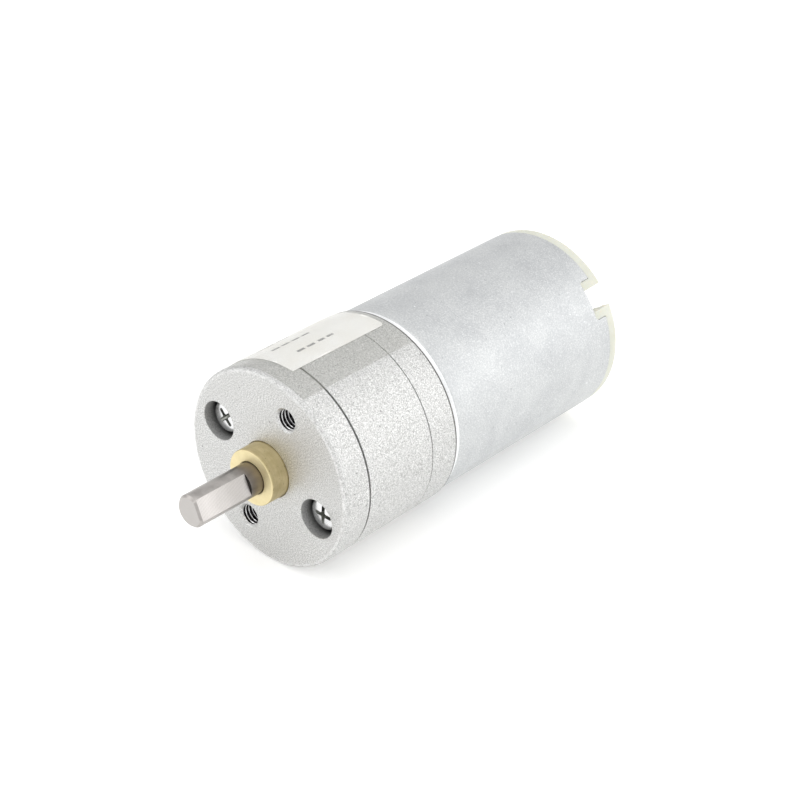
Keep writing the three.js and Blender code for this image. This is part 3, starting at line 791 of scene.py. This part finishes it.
def rear_plate():
    bm = bmesh.new()
    side = soften(
        [
            (10.95, 13.8),
            (10.95, 14.7),
            (12.3, 14.7),
            (12.3, 14.72),
            (12.5, 14.72, 0.07),
            (12.5, 18.70),
            (12.5, 19.0, 0.22),
            (3.07, 19.0),
        ],
        closed=False,
        steps=6,
    )
    rings = [circle(bm, r, y, SIDES) for r, y in side[:-1]]
    # the back edge's rounding takes the painted shadow of the joint
    for (_, y), a, b in zip(side, rings, rings[1:]):
        bridge(bm, a, b, finish=1 if y > 18.69 else 0)
    c0, c1, c2, c3 = (
        circle(bm, 2.6, 13.8, 96),
        circle(bm, 2.6, 17.4, 96),
        circle(bm, 3.07, 17.4, 96),
        circle(bm, 3.07, 19.0, 96),
    )
    for a, b in zip((c0, c1, c2), (c1, c2, c3)):
        bridge(bm, a, b)
    front, back = [rings[0], c0], [rings[-1], c3]
    for s in (0, 180):
        for r_at, a_at, steps in (
            (8.5, A_SCREW, [(1.04, 13.8), (1.04, 17.5), (0, 18.0)]),
            (6.0, A_TAPPED, [(0.78, 13.8), (0.78, 15.8), (0, 15.9)]),
        ):
            c = centre_at(r_at, a_at + s)
            rs = lathe(bm, steps, 32, closed=False, centre=c)
            front.append(rs[0])
        c = centre_at(8.0, A_MOTOR_SCREW + s)
        rs = [circle(bm, r, y, 40, c) for r, y in ((2.0, 13.8), (2.0, 15.55), (1.32, 15.55), (1.32, 19.0))]
        for a, b in zip(rs, rs[1:]):
            bridge(bm, a, b)
        front.append(rs[0])
        back.append(rs[-1])
    fill(bm, *front)
    fill(bm, *back)
    return make("rear_plate", bm, "gearmotor", ["rear_plate"], ZINC, sharp=38, extra=(JOINT_SHADOW,))


def output_bush():
    bm = bmesh.new()
    lathe(
        bm,
        soften(
            [
                (2.04, -2.5, 0.12),
                (3.5, -2.5, 0.14),
                (3.5, 4.9, 0.1),
                (2.04, 4.9),
            ],
            steps=5,
        ),
        144,
    )
    return make("output_bush", bm, "gearmotor", ["output_bush"], BRASS)


def output_shaft():
    bm = bmesh.new()
    cut = math.degrees(math.acos(1.5 / 2.0))
    angles = [cut + (360 - 2 * cut) * i / 80 for i in range(81)]
    angles += [-cut + 2 * cut * i / 22 for i in range(1, 22)]

    def section(r, y, flat):
        pts = []
        for a in angles:
            p, q = r * math.cos(rad(a)), r * math.sin(rad(a))
            if flat is not None and p > flat:
                # slide towards the flat along the direction of the cut
                p = flat
            c, s = math.cos(rad(A_FLAT)), math.sin(rad(A_FLAT))
            pts.append((p * c - q * s, y, p * s + q * c))
        return ring(bm, pts)

    levels = [
        (1.66, -12.0, 1.30),
        (1.74, -11.98, 1.34),
        (1.96, -11.74, 1.485),
        (2.0, -11.68, 1.5),
        (2.0, -9.0, 1.5),
        (2.0, -6.5, 1.5),
        (2.0, -4.35, 1.5),
        (2.0, -4.31, 1.51),
        (2.0, -4.30, None),
        (2.0, -2.0, None),
        (2.0, 7.2, None),
        (1.9, 7.3, None),
        (0.75, 7.3, None),
        (0.75, 11.35, None),
        (0.65, 11.45, None),
    ]
    rs = [section(*lv) for lv in levels]
    for a, b in zip(rs, rs[1:]):
        bridge(bm, a, b)
    fill(bm, rs[0])
    fill(bm, rs[-1])
    return make("output_shaft", bm, "output", ["output_shaft"], SHAFT, sharp=25)


def screw(name, centre, turn, body="gearmotor", y_seat=2.45, r_head=2.1, h_head=1.35, r_shank=1.0, y_end=17.0):
    bm = bmesh.new()
    top = y_seat - h_head
    prof = [(0.0, top)]
    # a domed pan head
    for i in range(1, 9):
        a = i / 8
        prof.append((r_head * 0.90 * math.sin(rad(90 * a)), top + 0.16 * (1 - math.cos(rad(90 * a)))))
    prof += soften(
        [
            (r_head * 0.90, top + 0.16),
            (r_head, top + 0.42, 0.25),
            (r_head, y_seat, 0.06),
            (r_shank, y_seat),
        ],
        closed=False,
    )[1:]
    # plain shank, with rolled thread rings below the head
    y = y_seat + 0.6
    while y < y_end - 0.8:
        prof += [(r_shank, y), (r_shank - 0.14, y + 0.2)]
        y += 0.4
    prof += [(r_shank, y_end - 0.45), (r_shank - 0.35, y_end), (0.0, y_end)]
    lathe(bm, prof, 72, closed=False, centre=centre)
    head = scratch(bm)
    cutters = []
    # cross recess: two tapered wings and a conical middle
    for t in (turn, turn + 90):
        cb = bmesh.new()
        c, s = math.cos(rad(t)), math.sin(rad(t))
        rows = []
        for y, l, w in ((top - 0.4, 1.30, 0.27), (top + 0.05, 1.20, 0.24), (top + 0.75, 0.60, 0.16)):
            rows.append(
                ring(
                    cb,
                    [
                        (centre[0] + p * c - q * s, y, centre[1] + p * s + q * c)
                        for p, q in (
                            (-l, -w * 0.6),
                            (-l + 0.12, -w),
                            (l - 0.12, -w),
                            (l, -w * 0.6),
                            (l, w * 0.6),
                            (l - 0.12, w),
                            (-l + 0.12, w),
                            (-l, w * 0.6),
                        )
                    ],
                )
            )
        for a, b in zip(rows, rows[1:]):
            bridge(cb, a, b)
        cb.faces.new(rows[0])
        cb.faces.new(rows[-1])
        cutters.append(scratch(cb))
    cb = bmesh.new()
    lathe(cb, [(0, top - 0.4), (0.50, top - 0.4), (0.42, top + 0.1), (0.22, top + 0.8), (0, top + 0.95)], 24, closed=False, centre=centre)
    cutters.append(scratch(cb))
    bm = carve(head, cutters)
    # faces inside the cross recess take the darker recess material, as painted shade
    for f in bm.faces:
        c = f.calc_center_median()
        away = math.hypot(c.x - centre[0], c.z - centre[1])
        if away < 1.31 and c.y < top + 1.0:
            dome = top + 0.16 * (1 - math.sqrt(1 - (away / (0.9 * r_head)) ** 2))
            if c.y > dome + 0.03:
                f.material_index = 1
    return make(name, bm, body, [name], PLATED, sharp=30, extra=(SOCKET_SHADE,))


# ------------------------------------------------------------------ motor can and cap
NOTCH = 12.5  # half angle of the can's notch
Y_RIM, Y_NOTCH = 49.1, 47.25


def motor_can():
    bm = bmesh.new()
    corner, lip = 0.5, 0.25  # rounding at the notch's bottom, and at its mouth

    def arc_mm(a):
        return rad(a) * R_CAN

    # columns: angle offsets from a notch's centre, and what they belong to
    half = arc_mm(NOTCH)
    inner = [half * (-1 + 2 * i / 20) for i in range(21)]
    inner += [s * (half - corner * (1 - math.cos(rad(a)))) for s in (-1, 1) for a in (15, 30, 45, 60, 75, 90)]
    inner = sorted(set(round(v, 6) for v in inner))
    merged = [inner[0]]
    for v in inner[1:]:
        if v - merged[-1] > 0.02:
            merged.append(v)
    inner = merged
    inner[-1] = round(half, 6)

    def notch_floor(u):
        d = half - abs(u)
        if d >= corner:
            return Y_NOTCH
        return Y_NOTCH + corner - math.sqrt(max(0.0, corner**2 - (corner - d) ** 2))

    outer_arc = 180 - 2 * NOTCH
    edge = [0.0, 0.02, 0.06, 0.12, 0.19, lip]
    outer = [v / R_CAN * 180 / math.pi for v in edge]
    step = [outer_arc * i / 60 for i in range(61)]
    cols_out = sorted(
        set(
            [round(v, 6) for v in outer]
            + [round(outer_arc - v, 6) for v in outer]
            + [round(v, 6) for v in step if outer[-1] + 0.6 < v < outer_arc - outer[-1] - 0.6]
        )
    )

    def rim(v):
        d = min(v, outer_arc - v) * math.pi / 180 * R_CAN
        if d >= lip:
            return Y_RIM
        return Y_RIM - lip + math.sqrt(max(0.0, lip**2 - (lip - d) ** 2))

    m_rows, k_rows = 4, 4
    y1 = 46.4
    side_y = Y_NOTCH + corner
    columns = []  # (angle, [y ...] from y1 up, is_side)
    for s in (0, 180):
        a0 = A_NOTCH + s
        for u in inner:
            a = a0 + u / R_CAN * 180 / math.pi
            top = notch_floor(u)
            ys = [y1 + (top - y1) * j / m_rows for j in range(m_rows + 1)]
            if u in (inner[0], inner[-1]):
                ys = [y1 + (side_y - y1) * j / m_rows for j in range(m_rows + 1)]
                mouth = rim(0.0)
                ys += [side_y + (mouth - side_y) * j / k_rows for j in range(1, k_rows + 1)]
            columns.append((a, ys, "side" if u in (inner[0], inner[-1]) else "in"))
        for v in cols_out[1:-1]:
            a = a0 + NOTCH + v
            ys = [y1 + (side_y - y1) * j / m_rows for j in range(m_rows + 1)]
            ys += [side_y + (rim(v) - side_y) * j / k_rows for j in range(1, k_rows + 1)]
            columns.append((a, ys, "out"))
    n = len(columns)

    def build(r):
        return [[bm.verts.new(polar(r, a, y)) for y in ys] for a, ys, _ in columns]

    skins = {}
    for key, r in (("out", R_CAN), ("in", R_CAN - 1.0)):
        cols = build(r)
        skins[key] = cols
        for i in range(n):
            a, b = cols[i], cols[(i + 1) % n]
            ka, kb = columns[i][2], columns[(i + 1) % n][2]
            rows = m_rows if "in" in (ka, kb) else m_rows + k_rows
            for j in range(rows):
                bm.faces.new((a[j], b[j], b[j + 1], a[j + 1]))
    # the rim between both skins, following the outline up and down each notch
    outline = []
    for i in range(n):
        kind = columns[i][2]
        nxt = columns[(i + 1) % n][2]
        last = len(columns[i][1]) - 1
        if kind == "side":
            if nxt == "in":  # coming from the rim down into the notch
                outline += [(i, j) for j in range(last, m_rows - 1, -1)]
            else:
                outline += [(i, j) for j in range(m_rows, last + 1)]
        else:
            outline.append((i, last))
    for (i, j), (p, q) in zip(outline, outline[1:] + outline[:1]):
        bm.faces.new(
            (skins["out"][i][j], skins["out"][p][q], skins["in"][p][q], skins["in"][i][j])
        )
    # walls down to the shoulder, then the front end with its bearing pocket
    angles = [a for a, _, _ in columns]

    def level(r, y):
        return ring(bm, [polar(r, a, y) for a in angles])

    outside = soften(
        [(R_CAN, y1), (R_CAN, 19.03, 1.05), (3.0, 19.03), (3.0, 17.45, 0.2), (1.3, 17.45)],
        closed=False,
        steps=10,
    )[1:]
    inside = soften(
        [
            (R_CAN - 1.0, y1),
            (R_CAN - 1.0, 20.03, 0.6),
            (2.3, 20.03),
            (2.3, 17.85),
            (1.3, 17.85),
        ],
        closed=False,
        steps=5,
    )[1:]
    wall = [(R_CAN, y) for y in (40.0, 33.0, 26.0)] + outside
    previous, y_before = [c[0] for c in skins["out"]], y1
    for r, y in wall:
        this = level(r, y)
        # painted light on the shoulder's rounding: its middle is near white as a painted highlight, and its end
        # by the rear plate is dark as painted shadow in the joint
        bridge(bm, previous, this, finish=(2 if y_before < 19.12 else 1) if y_before < 19.9 and r > 8 else 0)
        previous, y_before = this, y
    end_out = previous
    previous = [c[0] for c in skins["in"]]
    for r, y in [(R_CAN - 1.0, y) for y in (40.0, 33.0, 26.0)] + inside:
        this = level(r, y)
        bridge(bm, previous, this)
        previous = this
    bridge(bm, end_out, previous)
    return make("motor_can", bm, "gearmotor", ["motor_can"], CAN, sharp=38, extra=(CAN_EDGE_HIGHLIGHT, JOINT_SHADOW))


def sector_solid(ro, ri, a0, a1, y0, y1, n):
    bm = bmesh.new()
    loops = []
    for r, y in ((ri, y0), (ro, y0), (ro, y1), (ri, y1)):
        loops.append([bm.verts.new(polar(r, a0 + (a1 - a0) * i / n, y)) for i in range(n + 1)])
    for a, b in zip(loops, loops[1:] + loops[:1]):
        bridge(bm, a, b, closed=False)
    for e in (0, -1):
        bm.faces.new([lp[e] for lp in loops])
    return scratch(bm)


def end_cap():
    bm = bmesh.new()
    profile = soften(
        [
            (2.32, 46.4),
            (4.0, 46.4),
            (4.0, 47.0, 0.2),
            (10.0, 47.0),
            (10.0, 44.6),
            (11.1, 44.6, 0.2),
            (11.14, 49.13),
            (12.17, 49.13, 0.08),
            (12.17, 50.55, 0.30),
            (10.9, 50.55, 0.12),
            (10.75, 49.9, 0.1),
            (10.1, 49.8, 0.15),
            (10.0, 48.5, 0.3),
            (7.0, 48.5, 0.15),
            (6.8, 48.25, 0.1),
            (4.6, 48.25, 0.3),
            (4.1, 51.2, 0.25),
            (3.0, 51.4, 0.15),
            (2.9, 51.1, 0.1),
            (2.4, 51.1, 0.1),
            (2.36, 50.9),
            (2.32, 50.9),
        ],
        steps=4,
    )
    lathe(bm, profile, 180)
    cap = scratch(bm)
    tabs = [
        sector_solid(12.17, 10.6, A_NOTCH + s - NOTCH + 0.25, A_NOTCH + s + NOTCH - 0.25, 47.31, 49.9, 16)
        for s in (0, 180)
    ]
    bm = carve(cap, tabs, "UNION")
    cap = scratch(bm)
    cutters = []
    for s in (0, 180):
        cutters.append(sector_solid(14, 9.6, A_NOTCH + s - 7.1, A_NOTCH + s + 7.1, 47.0, 52, 8))
        cb = bmesh.new()
        solid_box(cb, 8.1, 8.72, -1.4, 1.4, 44, 50, A_TERMINAL + s)
        cutters.append(scratch(cb))
    bm = carve(cap, cutters)
    return make("end_cap", bm, "gearmotor", ["end_cap"], PLASTIC, sharp=30)


def plain_lathe(name, profile, body, material, n=96, centre=(0.0, 0.0), sharp=32):
    bm = bmesh.new()
    lathe(bm, profile, n, closed=profile[0][0] > 0, centre=centre)
    return make(name, bm, body, [name], material, sharp=sharp)


def terminal(i, s):
    """A flat tab with a rounded end and a wire hole, standing in its slot."""
    bm = bmesh.new()
    outline = soften([(-1.25, 45.4), (1.25, 45.4), (1.25, 53.9, 0.8), (-1.25, 53.9, 0.8)], steps=8)
    a = A_TERMINAL + s
    c, sn = math.cos(rad(a)), math.sin(rad(a))

    def place(q, y, p):
        return (p * c - q * sn, y, p * sn + q * c)

    faces = []
    for p in (8.2, 8.6):
        o = ring(bm, [place(q, y, p) for q, y in outline])
        h = ring(
            bm,
            [place(0.6 * math.cos(rad(t)), 52.2 + 0.6 * math.sin(rad(t)), p) for t in range(0, 360, 10)],
        )
        fill(bm, o, h)
        faces.append((o, h))
    bridge(bm, faces[0][0], faces[1][0])
    bridge(bm, faces[0][1], faces[1][1])
    return make(f"terminal_{i}", bm, "gearmotor", [f"terminal_{i}"], PLATED, bevel=0.06)


# ------------------------------------------------------------------ label and tape
def wrapped(name, a0, a1, lo, hi, r_in, r_out, nodes, material, n_a=120, n_y=28, corners=None):
    """A thin sheet wrapped round the gearbox: lo and hi give its edges for a direction."""
    bm = bmesh.new()
    skins = []
    for radius in (r_out, r_in):
        cols = []
        for i in range(n_a + 1):
            # columns crowd towards both ends, so that rounded corners are smooth
            t = i / n_a
            t = 0.5 - 0.5 * math.cos(math.pi * t) if corners else t
            row = []
            for j in range(n_y + 1):
                u = j / n_y
                a = a0 + (a1 - a0) * t
                y = lo(a) + (hi(a) - lo(a)) * u
                a_edge = a
                if callable(corners):
                    a_edge = corners(a, y, t)
                row.append(bm.verts.new(polar(radius(a, y), a_edge, y)))
            cols.append(row)
        skins.append(cols)
        for c, d in zip(cols, cols[1:]):
            for j in range(n_y):
                bm.faces.new((c[j], d[j], d[j + 1], c[j + 1]))

    def outline(cols):
        return (
            [c[0] for c in cols]
            + cols[-1][1:]
            + [c[-1] for c in cols[-2::-1]]
            + cols[0][-2:0:-1]
        )

    bridge(bm, outline(skins[0]), outline(skins[1]))
    return make(name, bm, "gearmotor", nodes, material, sharp=40)


def smooth(t):
    t = max(0.0, min(1.0, t))
    return t * t * (3 - 2 * t)


LABEL = (81.5, 163.0, 2.8, 18.0)


def label():
    a0, a1, y0, y1 = LABEL
    corner = 0.6

    def bite(a):
        d = min(a - a0, a1 - a) * math.pi / 180 * 12.6
        if d >= corner:
            return 0.0
        return corner - math.sqrt(max(0.0, corner**2 - (corner - d) ** 2))

    def wave(a, y):
        return 0.012 * math.sin(a * 0.31 + y * 0.9) + 0.008 * math.sin(a * 0.83 - y * 0.5)

    return wrapped(
        "label",
        a0,
        a1,
        lambda a: y0 + 0.25 * bite(a),
        lambda a: y1 - bite(a),
        lambda a, y: 12.52,
        lambda a, y: 12.575 + wave(a, y),
        ["label"],
        PAPER,
        corners=True,
    )


def clear_tape():
    a0, a1, y0, y1 = 63.2, 185.5, 0.52, 18.6

    def over_label(a, y):
        la0, la1, ly0, ly1 = LABEL
        mm = math.pi / 180 * 12.6
        return (
            smooth((a - la0) * mm / 1.1 + 0.6)
            * smooth((la1 - a) * mm / 1.1 + 0.6)
            * smooth((y - ly0) / 1.1 + 0.6)
            * smooth((ly1 - y) / 1.1 + 0.6)
        )

    def height(a, y):
        return 12.525 + 0.08 * over_label(a, y)

    def ripple(a, y):
        return 0.006 * math.sin(a * 0.5 + y * 0.7) * math.sin(y * 0.33 + 1.0)

    return wrapped(
        "clear_tape",
        a0,
        a1,
        lambda a: y0 + 0.12 * math.sin(a * 0.21),
        lambda a: y1 + 0.10 * math.sin(a * 0.17 + 1),
        lambda a, y: height(a, y) + ripple(a, y),
        lambda a, y: height(a, y) + 0.045 + ripple(a, y),
        ["clear_tape"],
        TAPE,
        n_a=150,
        n_y=36,
    )


# ------------------------------------------------------------------ build everything
front_cover()
gear_housing()
rear_plate()
output_bush()
output_shaft()
screw("cover_screw_1", centre_at(8.5, A_SCREW), A_SCREW + 20)
screw("cover_screw_2", centre_at(8.5, A_SCREW + 180), A_SCREW - 25)
motor_can()
end_cap()
label()
clear_tape()
for i, s in ((1, 0), (2, 180)):
    terminal(i, s)
plain_lathe(
    "rear_bearing",
    soften([(1.03, 46.6), (2.29, 46.6), (2.29, 50.85, 0.1), (1.03, 50.85, 0.08)]),
    "gearmotor",
    BRONZE,
)
plain_lathe(
    "rotor_shaft",
    soften([(0, 11.8), (1.0, 11.8, 0.12), (1.0, 50.7, 0.15), (0, 50.7)], closed=False),
    "rotor",
    PINS,
    n=64,
)

# what the sealed inner nodes are made of
FINISH = {
    "gear_pin_a": PINS,
    "gear_pin_b": PINS,
    "pin_spacer_a": PINS,
    "pin_spacer_b": PINS,
    "output_washer": PINS,
    "output_gear": GEAR,
    "stage_1_wheel": GEAR_BRASS,
    "stage_1_pinion": GEAR,
    "stage_2_wheel": GEAR_BRASS,
    "stage_2_pinion": GEAR,
    "stage_3_wheel": GEAR,
    "stage_3_pinion": GEAR,
    "motor_pinion": GEAR_BRASS,
    "armature_core": LAMINATED,
    "winding_1": COPPER,
    "winding_2": COPPER,
    "winding_3": COPPER,
    "commutator_sleeve": PLASTIC,
    "commutator_bar_1": COPPER,
    "commutator_bar_2": COPPER,
    "commutator_bar_3": COPPER,
    "rotor_spacer": PLASTIC,
    "thrust_washer": PLASTIC,
    "front_bearing": BRONZE,
    "magnet_1": FERRITE,
    "magnet_2": FERRITE,
    "magnet_clip_1": PINS,
    "magnet_clip_2": PINS,
    "brush_arm_1": COPPER,
    "brush_arm_2": COPPER,
    "carbon_brush_1": CARBON,
    "carbon_brush_2": CARBON,
    "motor_screw_1": PLATED,
    "motor_screw_2": PLATED,
}
for node, material in FINISH.items():
    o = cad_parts[node]
    o.data.materials.clear()
    o.data.materials.append(material)

# ------------------------------------------------------------------ floor, lights, camera
floor_mesh = bpy.data.meshes.new("floor")
S, Z = 4.0, -0.0125
floor_mesh.from_pydata([(-S, -S, Z), (S, -S, Z), (S, S, Z), (-S, S, Z)], [], [(0, 1, 2, 3)])
floor = bpy.data.objects.new("floor", floor_mesh)
bpy.context.scene.collection.objects.link(floor)
fm = bpy.data.materials.new("pale floor")
fm.use_nodes = True
fb = fm.node_tree.nodes["Principled BSDF"]
fb.inputs["Base Color"].default_value = (0.93, 0.93, 0.925, 1)
fb.inputs["Roughness"].default_value = 0.9
fb.inputs["Specular IOR Level"].default_value = 0.1
fb.inputs["Emission Color"].default_value = (1.0, 1.0, 0.99, 1)
fb.inputs["Emission Strength"].default_value = 0.20
floor_mesh.materials.append(fm)

scene = bpy.context.scene
world = bpy.data.worlds.new("studio")
scene.world = world
world.use_nodes = True
world.node_tree.nodes["Background"].inputs[0].default_value = (1.0, 1.0, 1.0, 1)
world.node_tree.nodes["Background"].inputs[1].default_value = 0.90


def softbox(name, location, target, size, power, size_y=None):
    data = bpy.data.lights.new(name, "AREA")
    data.energy = power
    data.shape = "RECTANGLE"
    data.size, data.size_y = size, size_y or size
    o = bpy.data.objects.new(name, data)
    o.location = location
    direction = Vector(target) - Vector(location)
    o.rotation_euler = direction.to_track_quat("-Z", "Y").to_euler()
    scene.collection.objects.link(o)
    return o


MIDDLE = (0.0, 0.02, 0.0)
softbox("top", (0.05, 0.05, 0.60), MIDDLE, 0.45, 0.75)
softbox("right", (0.48, 0.50, 0.26), MIDDLE, 0.8, 1.40, 0.5)
softbox("left", (-0.45, -0.45, 0.35), MIDDLE, 0.5, 0.78)
softbox("front", (0.36, -0.42, 0.42), MIDDLE, 0.35, 0.65)

cam_data = bpy.data.cameras.new("camera")
cam_data.lens = 87.68
cam_data.sensor_width = 36.0
cam_data.clip_start = 0.005
cam_data.clip_end = 20
cam = bpy.data.objects.new("camera", cam_data)
right = Vector((0.74158, 0.67086, 0.0))
up = Vector((-0.33635, 0.37181, 0.86523))
back = right.cross(up)
cam.matrix_world = Matrix.Translation((0.13834, -0.13015, 0.11891)) @ Matrix(
    (
        (right[0], up[0], back[0], 0),
        (right[1], up[1], back[1], 0),
        (right[2], up[2], back[2], 0),
        (0, 0, 0, 1),
    )
)
scene.collection.objects.link(cam)
scene.camera = cam

scene.view_settings.view_transform = "Standard"
scene.view_settings.look = "None"
